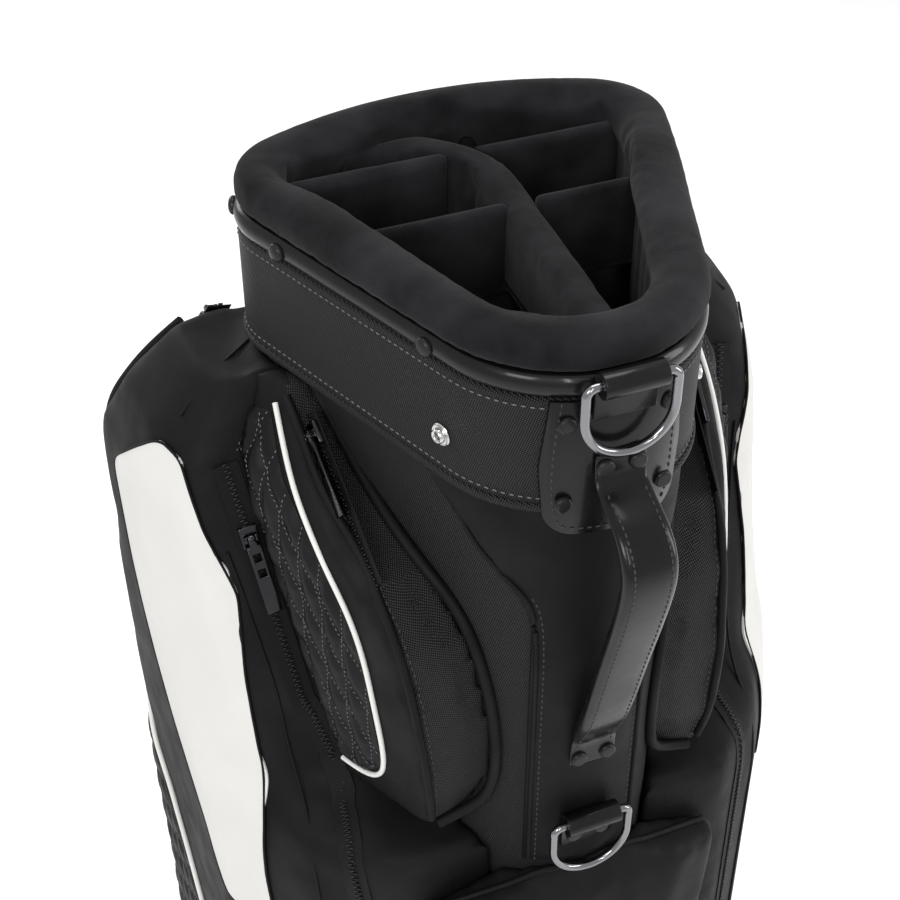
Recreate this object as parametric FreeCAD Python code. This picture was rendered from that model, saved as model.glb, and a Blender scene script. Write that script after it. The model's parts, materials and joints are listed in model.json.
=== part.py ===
import FreeCAD, Part
import math
import os
from FreeCAD import Vector as V

# Golf staff bag, millimetres, +Z up.
# The origin is the centre of the face it stands on. -Y is the spine with the carry
# handle, +Y is the front with the ball pocket, and the bag is symmetric left to right.

# ---- driving sizes -------------------------------------------------------------
GAP = 0.3                     # gap between sewn layers

# plan of the collar's centre line: a wedge with a round nose at the spine
SIDE_X = 92.0                 # half width where the straight sides cross Y = 0
SIDE_SLOPE = 0.37             # spread of the sides towards the front
NOSE_Y = -130.0
FRONT_Y = 119.0
CORNER_R = 32.0
FRONT_R = 260.0

# heights
FOOT_H = 6.0
CUP_FLOOR = 5.0
CUP_TOP = 60.0
PAD_TOP = 913.0
PAD_H = 25.0                  # padded collar
TRIM_H = 14.0
BAND_H = 71.0                 # cuff band with its seam, from the hem up to the trim
CUFF_DEPTH = 45.0             # cuff ring above the shell
SKIRT_DEPTH = 40.0            # cuff ring inside the shell

# layers, measured outwards from the collar's centre line
SHELL_IN = 1.0
SHELL_T = 3.0
COVER_T = 1.5
SPINE_T = 2.0
BAND_T = 7.7
TRIM_T = 9.0
PATCH_T = 2.0
PATCH_DROP = 13.0             # the handle patch hangs this far below the hem
PAD_HALF = 13.0
LINING_T = 4.0
LINING_DEPTH = 85.0
CUP_WALL = 3.5

# dividers
DIVIDER_T = 3.0
DIVIDER_PAD = 16.0
CROSS_PAD = 7.0
DIVIDER_PAD_H = 55.0
DIVIDER_DROP = 18.0           # below the top of the collar
CROSS_Y = (12.0, 76.0)

# stiffening rods
ROD_R = 3.0
ROD_Y = (-40.0, 45.0)

# handle, D-rings and rivets
STRAP_W = 30.0
STRAP_T = 10.0
HANDLE_RISE = 23.0            # of the handle's upper bend over the hem
HANDLE_L = 203.0              # between its two bends
HANDLE_BOW = 36.0             # how far the grip stands off the spine
HANDLE_TAB = 17.0             # flat tab with the rivets at each end
TAB_T = 2.2
RING_W = 54.0
RING_DROP = 46.0              # from the bar down to the outside of the ring
RING_WIRE = 5.0
RING_RUN = 0.08               # running clearance of the ring's bar
LOOP_W = 34.0
LOOP_R = 7.0
UPPER_RING_RISE = 86.0        # of the upper ring's bar over the hem
LOWER_RING_DROP = 61.0        # of the lower ring's bar below the handle's lower bend
LOOP_TAB = 24.0
RIVET_R = 5.0
RIVET_H = 2.5
SNAP_R = 6.0
SNAP_Y = -88.0
STUD_R = 5.5
STUD_Y = (-78.0, 33.0)
FOOT_R = 14.0
FOOT_SPOTS = ((0, 0), (0, -100), (-78, 88), (78, 88))

# pockets
POCKET_DROP = 3.0             # of the pockets' top below the hem
SIDE_H = 248.0                # slanted height of the side pockets
SLANT_TOP_Y = 44.0            # slanted wall between side and garment pocket, at its top
SLANT_LOW_Y = -48.0           # and at the side pocket's bottom
SHELF_H = 20.0                # the wall then turns out to the back wall over this height
BACK_Y = -118.0               # back wall of the garment pockets, beside the hip pad
FRONT_WALL_TOP_Y = 116.0      # the garment pocket's front wall at its top
FRONT_WALL_Y = 160.0          # and below its shoulder
SHOULDER_DROP = 80.0          # of the garment pocket's shoulder below its top
POCKET_LOW = 78.0
BALL_TOP = 480.0
BALL_Y = 240.0
BALL_X = 165.0
FRONT_POCKET_Y = 172.0
FRONT_POCKET_GAP = 17.0       # from the ball pocket's top up to the front pocket
INNER_X = 100.0               # half width between the garment pockets at the front
PANEL_T = 1.7
HIP_GAP = 42.0                # from the lower ring's bar down to the hip pad
HIP_DROP = 24.0               # the hip pad's top edge falls this much to its sides
HIP_X = 98.0
HIP_Y = -153.0
HIP_LOW = 90.0

# zips
CHAIN_W = 7.0
CHAIN_T = 2.2
SLIDER_L = 13.0
SLIDER_W = 11.0
PIN_N = 6.0                   # height of the slider's bail pin over the zip's seat
PIN_R = 1.0
PIN_RUN = 0.08
PULL_L = 44.0
PULL_W = 9.0
PULL_T = 2.4

# ---- sizes that follow ---------------------------------------------------------
SLOPE_LEN = math.hypot(1.0, SIDE_SLOPE)
NOSE_R = (SIDE_X + SIDE_SLOPE * NOSE_Y) / (SLOPE_LEN - SIDE_SLOPE)
PAD_LOW = PAD_TOP - PAD_H
RING_TOP = PAD_LOW - GAP
TRIM_LOW = PAD_LOW - TRIM_H
HEM_Z = TRIM_LOW - BAND_H
HANDLE_TOP = HEM_Z + HANDLE_RISE
HANDLE_LOW = HANDLE_TOP - HANDLE_L
UPPER_RING_Z = HEM_Z + UPPER_RING_RISE
LOWER_RING_Z = HANDLE_LOW - LOWER_RING_DROP
HIP_TOP = LOWER_RING_Z - HIP_GAP
POCKET_TOP = HEM_Z - POCKET_DROP
SIDE_LOW = POCKET_TOP - SIDE_H
SHOULDER_Z = POCKET_TOP - SHOULDER_DROP
FRONT_POCKET_LOW = BALL_TOP + FRONT_POCKET_GAP
SHELL_TOP = RING_TOP - CUFF_DEPTH
SHELL_OUT = SHELL_IN + SHELL_T
COVER_IN = SHELL_OUT + GAP
COVER_OUT = COVER_IN + COVER_T
SPINE_IN = COVER_OUT + GAP
SPINE_OUT = SPINE_IN + SPINE_T
BAND_OUT = COVER_IN + BAND_T
PATCH_IN = BAND_OUT + GAP
PATCH_OUT = PATCH_IN + PATCH_T
CORE = COVER_OUT + GAP        # everything sewn to the body starts here
CUP_IN = SHELL_OUT + GAP
FLOOR_TOP = FOOT_H + CUP_FLOOR
FAR = 400.0


def save(name, shape):
    shape.exportStep(f"parts/{name}.step")


def mirrored(shape):
    return shape.mirror(V(0, 0, 0), V(1, 0, 0))


def save_pair(name, left):
    save(name + "_left", left)
    save(name + "_right", mirrored(left))


# ---- plan outline and solids made from it ----------------------------------------
def corner_centre():
    """Centre of the front corner arc, tangent to the straight side and the front arc."""
    front_c = FRONT_Y - FRONT_R
    reach = FRONT_R - CORNER_R
    a = SIDE_X - CORNER_R * SLOPE_LEN
    qa = SIDE_SLOPE ** 2 + 1
    qb = 2 * (a * SIDE_SLOPE - front_c)
    qc = a * a + front_c * front_c - reach * reach
    cy = (-qb + math.sqrt(qb * qb - 4 * qa * qc)) / (2 * qa)
    return V(a + SIDE_SLOPE * cy, cy, 0)


def plan(offset, z=0.0):
    """The wedge outline, moved outwards by offset, as a face at height z."""
    side = V(1, -SIDE_SLOPE, 0) / SLOPE_LEN
    nose = V(0, NOSE_Y + NOSE_R, 0)
    corner = corner_centre()
    out = (corner - V(0, FRONT_Y - FRONT_R, 0)).normalize()
    mid = (side + out).normalize()
    r = CORNER_R + offset
    a = nose + side * (NOSE_R + offset)
    b = corner + side * r
    c = corner + mid * r
    d = corner + out * r
    low = V(0, NOSE_Y - offset, 0)
    top = V(0, FRONT_Y + offset, 0)
    flip = lambda p: V(-p.x, p.y, 0)
    edges = [
        Part.Arc(flip(a), low, a).toShape(),
        Part.makeLine(a, b),
        Part.Arc(b, c, d).toShape(),
        Part.Arc(d, top, flip(d)).toShape(),
        Part.Arc(flip(d), flip(c), flip(b)).toShape(),
        Part.makeLine(flip(b), flip(a)),
    ]
    face = Part.Face(Part.Wire(edges))
    face.translate(V(0, 0, z))
    return face


def prism(offset, z0, z1):
    return plan(offset, z0).extrude(V(0, 0, z1 - z0))


def ring(inner, outer, z0, z1):
    return prism(outer, z0, z1).cut(prism(inner, z0 - 1, z1 + 1))


def side_x(y, offset):
    """X of the straight side at y."""
    return SIDE_X + SIDE_SLOPE * y + offset * SLOPE_LEN


def nose_y(x, offset):
    """Y of the nose arc at x."""
    return NOSE_Y + NOSE_R - math.sqrt((NOSE_R + offset) ** 2 - x * x)


def rounded(points, place):
    """Closed wire through (u, v, radius) corners, each rounded with a tangent arc."""
    edges = []
    n = len(points)
    starts, ends, mids = [], [], []
    for i in range(n):
        u, v, r = points[i]
        p = V(u, v, 0)
        back = (V(*points[i - 1][:2], 0) - p).normalize()
        on = (V(*points[(i + 1) % n][:2], 0) - p).normalize()
        half = back.getAngle(on) / 2
        reach = r / math.tan(half)
        centre = p + (back + on).normalize() * (r / math.sin(half)) if r else p
        starts.append(p + back * reach)
        ends.append(p + on * reach)
        mids.append(centre + (p - centre).normalize() * r if r else p)
    spot = lambda q: place(q.x, q.y)
    for i in range(n):
        if points[i][2]:
            edges.append(Part.Arc(spot(starts[i]), spot(mids[i]), spot(ends[i])).toShape())
        edges.append(Part.makeLine(spot(ends[i]), spot(starts[(i + 1) % n])))
    return Part.Wire(edges)


def seen_from_side(points, x0=-FAR, x1=FAR):
    """Prism along X of a (Y, Z, radius) outline."""
    return Part.Face(rounded(points, lambda u, v: V(x0, u, v))).extrude(V(x1 - x0, 0, 0))


def seen_from_front(points, y0=-FAR, y1=FAR):
    """Prism along Y of an (X, Z, radius) outline."""
    return Part.Face(rounded(points, lambda u, v: V(u, y0, v))).extrude(V(0, y1 - y0, 0))


def seen_from_top(points, z0, z1):
    """Prism along Z of an (X, Y, radius) outline."""
    return Part.Face(rounded(points, lambda u, v: V(u, v, z0))).extrude(V(0, 0, z1 - z0))


def box(x0, x1, y0, y1, z0, z1):
    return Part.makeBox(x1 - x0, y1 - y0, z1 - z0, V(x0, y0, z0))


def loft(sections):
    """Straight-ruled solid through {z: [(x, y, radius), ...]}."""
    wires = [rounded(sections[z], lambda u, v, z=z: V(u, v, z)) for z in sorted(sections)]
    return Part.makeLoft(wires, True, True)


# ---- base, body and cuff ---------------------------------------------------------
def build_base():
    cup = prism(CUP_IN + CUP_WALL, FOOT_H, CUP_TOP)
    cup = cup.cut(prism(CUP_IN, FLOOR_TOP, CUP_TOP + 1))
    save("base_cup", cup)
    feet = [Part.makeCylinder(FOOT_R, FOOT_H, V(x, y, 0)) for x, y in FOOT_SPOTS]
    save("base_feet", Part.makeCompound(feet))


def build_body():
    save("body_shell", ring(SHELL_IN, SHELL_OUT, FLOOR_TOP, SHELL_TOP))
    save("body_cover", ring(COVER_IN, COVER_OUT, CUP_TOP + GAP, HEM_Z - GAP))
    rods = []
    for y in ROD_Y:
        x = side_x(y, SHELL_IN - GAP - ROD_R)
        for sx in (x, -x):
            rod_top = SHELL_TOP - SKIRT_DEPTH
            rods.append(Part.makeCylinder(ROD_R, rod_top - FLOOR_TOP, V(sx, y, FLOOR_TOP)))
    save("stay_rods", Part.makeCompound(rods))


def build_cuff():
    skirt_out = SHELL_IN - GAP
    skirt = ring(skirt_out - 2 * ROD_R, skirt_out, SHELL_TOP - SKIRT_DEPTH, RING_TOP)
    frame = skirt.fuse(ring(skirt_out - 1, SHELL_OUT, SHELL_TOP, RING_TOP)).removeSplitter()
    save("cuff_ring", frame)
    save("cuff_band", ring(COVER_IN, BAND_OUT, HEM_Z, TRIM_LOW - GAP))
    save("cuff_trim", ring(COVER_IN, COVER_IN + TRIM_T, TRIM_LOW, PAD_LOW - GAP))
    roll = ring(-PAD_HALF, PAD_HALF, PAD_LOW, PAD_TOP)
    top_edges = [e for e in roll.Edges if e.BoundBox.ZMin > PAD_TOP - 0.1]
    roll = roll.makeFillet(PAD_HALF - 2, top_edges)
    lining_out = skirt_out - 2 * ROD_R - GAP
    lining = ring(lining_out - LINING_T, lining_out, PAD_LOW - LINING_DEPTH, PAD_LOW + 1)
    save("cuff_pad", roll.fuse(lining).removeSplitter())
    return lining_out - LINING_T, -PAD_HALF


# ---- dividers ----------------------------------------------------------------------
def centre_path(z):
    """S-shaped line of the centre divider, from the nose to the front wall."""
    a, b, c = V(2, NOSE_Y, z), V(11, -40, z), V(16, 40, z)
    first = Part.Arc(a, b, c)
    edge = first.toShape()
    tangent = edge.tangentAt(edge.LastParameter)
    normal = V(-tangent.y, tangent.x, 0)
    r = 62.0
    turn = math.radians(105)
    centre = c + normal * r
    spin = lambda q: centre + (V(-normal.x, -normal.y, 0) * math.cos(q) + tangent * math.sin(q)) * r
    second = Part.Arc(c, spin(turn / 2), spin(turn))
    return Part.Wire([edge, second.toShape()])


def wall_along(path, thickness, height):
    """Upright wall swept along a flat path."""
    start = path.Edges[0]
    p = start.valueAt(start.FirstParameter)
    t = start.tangentAt(start.FirstParameter)
    n = V(-t.y, t.x, 0) * (thickness / 2)
    up = V(0, 0, height)
    profile = Part.makePolygon([p + n, p - n, p - n + up, p + n + up, p + n])
    return path.makePipeShell([profile], True, False)


def build_dividers(throat, mouth):
    top = PAD_TOP - DIVIDER_DROP
    low = FLOOR_TOP + GAP
    pad_low = top - DIVIDER_PAD_H
    lining_low = PAD_LOW - LINING_DEPTH
    wide = prism(SHELL_IN - 2 * ROD_R - 2 * GAP, low, lining_low)
    within_lining = prism(throat - GAP, lining_low - 1, PAD_LOW)
    within_pad = prism(mouth - GAP, PAD_LOW - GAP, top + 1)
    inside = wide.fuse([within_lining, within_pad])
    inside = inside.cut(ring(mouth - GAP, throat, PAD_LOW - GAP, PAD_LOW))
    sheet = wall_along(centre_path(low), DIVIDER_T, top - low)
    pad = wall_along(centre_path(pad_low), DIVIDER_PAD, top - pad_low)
    centre = sheet.fuse(pad).common(inside).removeSplitter()
    save("centre_divider", centre)
    keep_off = wall_along(centre_path(low - 1), DIVIDER_T + 2 * GAP, top + 2 - low)
    keep_off = keep_off.fuse(wall_along(centre_path(pad_low - 1), DIVIDER_PAD + 2 * GAP, top + 2 - pad_low))
    for y, place in zip(CROSS_Y, ("rear", "front")):
        thin = box(-FAR, FAR, y - DIVIDER_T / 2, y + DIVIDER_T / 2, low, top)
        thick = box(-FAR, FAR, y - CROSS_PAD / 2, y + CROSS_PAD / 2, pad_low, top)
        wall = thin.fuse(thick).common(inside).cut(keep_off)
        halves = sorted(wall.Solids, key=lambda s: s.CenterOfMass.x)
        save(f"cross_divider_{place}_left", halves[0].removeSplitter())
        save(f"cross_divider_{place}_right", halves[-1].removeSplitter())


# ---- spine: panel, patch, handle, rings, rivets ----------------------------------------
def build_spine():
    top = HEM_Z - GAP
    low = HIP_TOP + GAP
    outline = [
        (-78, top, 0), (78, top, 0), (54, HEM_Z - 43, 50), (36, HEM_Z - 80, 60),
        (36, low, 0), (-36, low, 0), (-36, HEM_Z - 80, 60), (-54, HEM_Z - 43, 50),
    ]
    panel = ring(SPINE_IN, SPINE_OUT, low, top).common(seen_from_front(outline, -FAR, 0))
    save("spine_panel", panel)
    low = HEM_Z - PATCH_DROP
    mid = (low + TRIM_LOW) / 2
    outline = [(-35, TRIM_LOW - GAP, 0), (35, TRIM_LOW - GAP, 0), (39, mid, 60), (36, low, 16),
               (-36, low, 16), (-39, mid, 60)]
    patch = ring(PATCH_IN, PATCH_OUT, low, TRIM_LOW - GAP).common(seen_from_front(outline, -FAR, 0))
    save("handle_patch", patch)


def handle_face(offset):
    """Y of the spine's outside at its middle line for one of the layers."""
    return NOSE_Y - offset


def ring_axis(layer):
    """Y of a D-ring's bar in its loop over a layer."""
    return handle_face(layer) - GAP - LOOP_R


def build_loop(name, z, layer):
    y = ring_axis(layer)
    back = handle_face(layer) - GAP
    roll = Part.makeCylinder(LOOP_R, LOOP_W, V(-LOOP_W / 2, y, z), V(1, 0, 0))
    tab = box(-LOOP_W / 2, LOOP_W / 2, back - TAB_T, back, z - LOOP_TAB, z)
    bore_r = RING_WIRE / 2 + RING_RUN
    bore = Part.makeCylinder(bore_r, LOOP_W + 2, V(-LOOP_W / 2 - 1, y, z), V(1, 0, 0))
    loop = roll.fuse(tab).cut(bore).cut(prism(layer + GAP, z - LOOP_TAB - 1, z + LOOP_R + 1))
    save(name, loop.removeSplitter())


def build_ring(name, z, layer):
    """D-ring: a straight bar with a round bow hanging under it."""
    y = ring_axis(layer)
    half = (RING_W - RING_WIRE) / 2
    low = z - RING_DROP + RING_WIRE / 2
    neck = low + half
    corner = 5.0
    a, b = V(-half + corner, y, z), V(half - corner, y, z)
    s = corner * (1 - math.sqrt(0.5))
    path = [
        Part.makeLine(a, b),
        Part.Arc(b, V(half - s, y, z - s), V(half, y, z - corner)).toShape(),
        Part.makeLine(V(half, y, z - corner), V(half, y, neck)),
        Part.Arc(V(half, y, neck), V(0, y, low), V(-half, y, neck)).toShape(),
        Part.makeLine(V(-half, y, neck), V(-half, y, z - corner)),
        Part.Arc(V(-half, y, z - corner), V(-half + s, y, z - s), a).toShape(),
    ]
    wire = Part.Wire(path)
    circle = Part.Wire(Part.makeCircle(RING_WIRE / 2, V(0, y, z), V(1, 0, 0)))
    circle.translate(a - V(0, y, z))
    save(name, wire.makePipeShell([circle], True, False))


def build_handle():
    """Padded grip that bows off the spine, with a riveted flat tab at each end."""
    y0 = handle_face(PATCH_OUT) - GAP - TAB_T
    y1 = handle_face(SPINE_OUT) - GAP - TAB_T
    bow_y = y0 - HANDLE_BOW
    t = STRAP_T
    mid = HANDLE_TOP - 38
    outline = [
        (y0, HANDLE_TOP, 0), (y0 - t, HANDLE_TOP, 4), (bow_y - t / 2, mid, 22),
        (y1 - t, HANDLE_LOW + 12, 12), (y1 - t, HANDLE_LOW, 4), (y1, HANDLE_LOW, 0),
        (y1, HANDLE_LOW + 12, 0), (bow_y + t / 2, mid, 14), (y0, HANDLE_TOP - 12, 0),
    ]
    grip = seen_from_side(outline, -STRAP_W / 2, STRAP_W / 2)
    top_tab = box(-STRAP_W / 2, STRAP_W / 2, y0, y0 + TAB_T, HANDLE_TOP - 12, HANDLE_TOP + HANDLE_TAB - 3)
    low_tab = box(-STRAP_W / 2, STRAP_W / 2, y1, y1 + TAB_T, HANDLE_LOW - HANDLE_TAB, HANDLE_LOW + 12)
    top_tab = top_tab.cut(prism(PATCH_OUT + GAP, HANDLE_TOP - 30, HANDLE_TOP + 30))
    low_tab = low_tab.cut(prism(SPINE_OUT + GAP, HANDLE_LOW - 40, HANDLE_LOW + 30))
    save("carry_handle", grip.fuse([top_tab, low_tab]).removeSplitter())
    return y0, y1


def rivet(x, y, z):
    """Domed head standing on a face that looks to -Y."""
    head = Part.makeCylinder(RIVET_R, RIVET_H, V(x, y, z), V(0, -1, 0))
    rim = [e for e in head.Edges if e.BoundBox.YMax < y - RIVET_H + 0.01]
    return head.makeFillet(RIVET_H * 0.7, rim)


def build_rivets(y0, y1):
    heads = []
    for x in (-9.0, 9.0):
        heads.append(rivet(x, y0, HANDLE_TOP + HANDLE_TAB / 2 - 0.5))
        heads.append(rivet(x, y1, HANDLE_LOW - HANDLE_TAB / 2 - 1))
        heads.append(rivet(x, handle_face(SPINE_OUT) - GAP - TAB_T, LOWER_RING_Z - 16))
    for x in (-28.0, 28.0):
        for z in (HEM_Z + 58, HEM_Z + 8):
            heads.append(rivet(x, nose_y(x, PATCH_OUT) - 1.0, z).cut(prism(PATCH_OUT, z - 9, z + 9)))
    save("rivets", Part.makeCompound(heads))


def on_side(y, offset, z, radius, height):
    """Round head standing on the straight left side at y."""
    n = V(-1, -SIDE_SLOPE, 0) / SLOPE_LEN
    return Part.makeCylinder(radius, height, V(-side_x(y, offset), y, z), n)


def on_corner(offset, z, radius, height):
    """Round head standing on the middle of the left front corner."""
    side = V(1, -SIDE_SLOPE, 0) / SLOPE_LEN
    corner = corner_centre()
    out = (corner - V(0, FRONT_Y - FRONT_R, 0)).normalize()
    n = (side + out).normalize()
    p = corner + n * (CORNER_R + offset)
    return Part.makeCylinder(radius, height, V(-p.x, p.y, z), V(-n.x, n.y, 0))


def build_snaps():
    snap = on_side(SNAP_Y, BAND_OUT, HEM_Z + 28, SNAP_R, 4.0)
    save("hood_snaps", Part.makeCompound([snap, mirrored(snap)]))
    face = COVER_IN + TRIM_T
    z = TRIM_LOW + 6
    studs = [on_side(y, face, z, STUD_R, 3.5) for y in STUD_Y]
    studs.append(on_corner(face, z, STUD_R, 3.5))
    save("hood_studs", Part.makeCompound(studs + [mirrored(s) for s in studs]))


# ---- zips ---------------------------------------------------------------------------------
class Zip:
    """A straight zip: a seat point, the way it runs down and the way it faces."""

    def __init__(self, name, seat, along, facing, length, start):
        self.name = name
        self.seat = seat
        self.t = V(along).normalize()
        self.n = (facing - self.t * facing.dot(self.t)).normalize()
        self.w = self.n.cross(self.t)
        self.length = length
        self.start = start

    def place(self, shape):
        """Moves a shape from (along, across, out) axes into the bag."""
        t, w, n, p = self.t, self.w, self.n, self.seat
        m = FreeCAD.Matrix(t.x, w.x, n.x, p.x, t.y, w.y, n.y, p.y, t.z, w.z, n.z, p.z, 0, 0, 0, 1)
        return shape.transformed(m, True)

    def bed(self):
        """Flat seat that the chain, slider and pull need in the pocket."""
        half = SLIDER_W / 2 + 1.5
        return self.place(box(-6, self.length + 6, -half, half, 0, 40))

    def chain(self):
        return self.place(box(0, self.length, -CHAIN_W / 2, CHAIN_W / 2, GAP, GAP + CHAIN_T))

    def slider(self):
        """Body that straddles the chain, with two ears and a pin for the pull."""
        s = self.start
        over = GAP + CHAIN_T + 0.2
        plate_top = PIN_N - 2.2
        body = box(s - SLIDER_L / 2, s + SLIDER_L / 2, -SLIDER_W / 2, SLIDER_W / 2, GAP, plate_top)
        slot = box(s - SLIDER_L, s + SLIDER_L, -CHAIN_W / 2 - 0.3, CHAIN_W / 2 + 0.3, 0, over)
        ear = box(s - 2, s + 2, 2.4, 4.0, plate_top - 0.2, PIN_N + 1.8)
        other = box(s - 2, s + 2, -4.0, -2.4, plate_top - 0.2, PIN_N + 1.8)
        pin = Part.makeCylinder(PIN_R, 6.4, V(s, -3.2, PIN_N), V(0, 1, 0))
        return self.place(body.cut(slot).fuse([ear, other, pin]).removeSplitter())

    def pull(self):
        """Flat bar with an eye round the pin and two square windows."""
        s = self.start
        eye = Part.makeCylinder(2.0, 4.4, V(s, -2.2, PIN_N), V(0, 1, 0))
        neck = box(s, s + 7, -2.2, 2.2, PIN_N - PULL_T / 2, PIN_N + PULL_T / 2)
        bar = box(s + 5, s + 5 + PULL_L, -PULL_W / 2, PULL_W / 2, PIN_N - PULL_T / 2, PIN_N + PULL_T / 2)
        bore = Part.makeCylinder(PIN_R + PIN_RUN, 12, V(s, -6, PIN_N), V(0, 1, 0))
        shape = eye.fuse([neck, bar]).cut(bore)
        for at in (10, 20):
            shape = shape.cut(box(s + at, s + at + 5.5, -2.4, 2.4, 0, 20))
        return self.place(shape.removeSplitter())

    def save(self):
        save(f"{self.name}_chain", self.chain())
        save(f"{self.name}_slider", self.slider())
        save(f"{self.name}_pull", self.pull())

    def save_pair(self):
        save_pair(f"{self.name}_chain", self.chain())
        save_pair(f"{self.name}_slider", self.slider())
        save_pair(f"{self.name}_pull", self.pull())


# ---- pockets ------------------------------------------------------------------------------
def slant_y(z):
    """Y of the garment pocket's wall towards the spine: slanted, a shelf, then upright."""
    if z >= SIDE_LOW:
        return SLANT_LOW_Y + (z - SIDE_LOW) * (SLANT_TOP_Y - SLANT_LOW_Y) / (POCKET_TOP - SIDE_LOW)
    return BACK_Y


def front_wall_y(z):
    """Y of the garment pocket's front wall, which leans back over its shoulder."""
    lean = (FRONT_WALL_Y - FRONT_WALL_TOP_Y) / (POCKET_TOP - SHOULDER_Z)
    return FRONT_WALL_Y - max(0.0, z - SHOULDER_Z) * lean


def side_pocket():
    """Left side pocket: a slanted drop. Rows are z below the top, inner, edge, middle, outer x."""
    rows = [
        (SIDE_H, (-54, -100), (-88, -108), (-104, -82), -123),
        (0.85 * SIDE_H, (-44, -112), (-92, -116), (-110, -80), -129),
        (0.65 * SIDE_H, (-44, -112), (-96, -112), (-114, -72), -137),
        (0.45 * SIDE_H, (-50, -105), (-101, -98), (-119, -58), -144),
        (0.3 * SIDE_H, (-66, -70), (-110, -72), (-128, -34), -149),
        (0.16 * SIDE_H, (-90, -5), (-119, -26), (-133, 0), -151),
        (0, (-104, 24), (-119, 24), (-125, 34), -133),
    ]
    sections = {}
    for drop, inner, edge, middle, outer in rows:
        z = POCKET_TOP - drop
        wall = slant_y(z) - GAP
        sections[z] = [
            (inner[0], inner[1], 0), (edge[0], edge[1], 5), (middle[0], middle[1], 3),
            (outer, wall, 0), (-60, wall, 0),
        ]
    return loft(sections)


def garment_pocket():
    """Left garment pocket. Rows are z, three corners from the spine side and the front x."""
    low = SIDE_LOW - SHELF_H
    rows = [
        (POCKET_LOW, (-104, 0), (-146, 28), (-186, 90), -202),
        (low - 52, (-104, 0), (-150, 36), (-194, 100), -210),
        (low, (-106, 0), (-152, 46), (-197, 120), -211),
        (SIDE_LOW, (-122, 0), (-158, 2), (-199, 66), -211),
        (SIDE_LOW + 68, (-132, 0), (-167, 2), (-201, 70), -211),
        (SHOULDER_Z, (-146, 0), (-178, 2), (-199, 56), -208),
        (POCKET_TOP - 35, (-148, 0), (-173, 2), (-187, 38), -192),
        (POCKET_TOP, (-112, 0), (-148, 2), (-156, 26), -158),
    ]
    sections = {}
    for z, a, b, c, front_x in rows:
        back = slant_y(z) + GAP
        front = front_wall_y(z)
        turn = 22 if z < POCKET_TOP else 8
        sections[z] = [
            (-40, back, 0), (a[0], back + a[1], 0), (b[0], back + b[1], 8), (c[0], back + c[1], 20),
            (front_x, front, turn), (-INNER_X, front, 0), (-INNER_X, 90, 0), (-40, 60, 0),
        ]
    return loft(sections)


def skin(pocket, thickness, outline, side):
    """Thin panel lying on a pocket's outside, cut to a side-view outline."""
    outer = pocket.translated(V(-GAP - thickness, 0, 0))
    inner = pocket.translated(V(-GAP, 0, 0))
    return outer.common(seen_from_side(outline, -FAR, side)).cut(inner)


def make_zips():
    wall = V(0, slant_y(SIDE_LOW) - slant_y(POCKET_TOP), SIDE_LOW - POCKET_TOP)
    lean = V(0, FRONT_WALL_Y - FRONT_WALL_TOP_Y, SHOULDER_Z - POCKET_TOP)
    side_z = POCKET_TOP - 11
    wall_z = POCKET_TOP - 48
    top_z = POCKET_TOP - 3
    side = Zip("side_zip", V(-113, 7, side_z), V(9, -84, -67), V(-1, -0.55, -0.2), 105, 12)
    garment = Zip("garment_zip", V(-160, slant_y(wall_z) + GAP, wall_z), wall + V(34, 0, 0),
                  V(0, wall.z, -wall.y), 158, 46)
    top = Zip("top_zip", V(-133, front_wall_y(top_z), top_z), lean + V(-26, 0, 0),
              V(0, -lean.z, lean.y), 86, 12)
    ball = Zip("ball_zip", V(BALL_X - 60, BALL_Y, BALL_TOP - 55), V(0, 0, -1), V(0, 1, 0), 280, 14)
    front = Zip("front_zip", V(INNER_X - 38, FRONT_POCKET_Y, SHOULDER_Z - 20), V(0, 0, -1),
                V(0, 1, 0), SHOULDER_Z - FRONT_POCKET_LOW - 53, 14)
    return side, garment, top, ball, front


def build_side_and_garment(core, side_zip):
    pocket = side_pocket().cut(core).cut(side_zip.bed())
    save_pair("side_pocket", pocket)
    save_pair("garment_pocket", garment_pocket().cut(core))
    drops = [(57, 48, 16), (108, 93, 16), (-28, 368, 16), (-80, 336, 16)]
    outline = [(y, POCKET_TOP - drop, r) for y, drop, r in drops]
    save_pair("white_panel", skin(garment_pocket(), PANEL_T, outline, -120))
    drops = [(27, 16, 2), (0, 46, 20), (-36, 79, 20), (-58, 110, 20), (-70, 160, 20),
             (-76, SIDE_H - 36, 8), (-44, SIDE_H - 20, 5), (8, 78, 10), (35, 16, 2)]
    outline = [(y, POCKET_TOP - drop, r) for y, drop, r in drops]
    save_pair("quilted_panel", skin(side_pocket(), PANEL_T, outline, -95).cut(side_zip.bed()))


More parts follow.
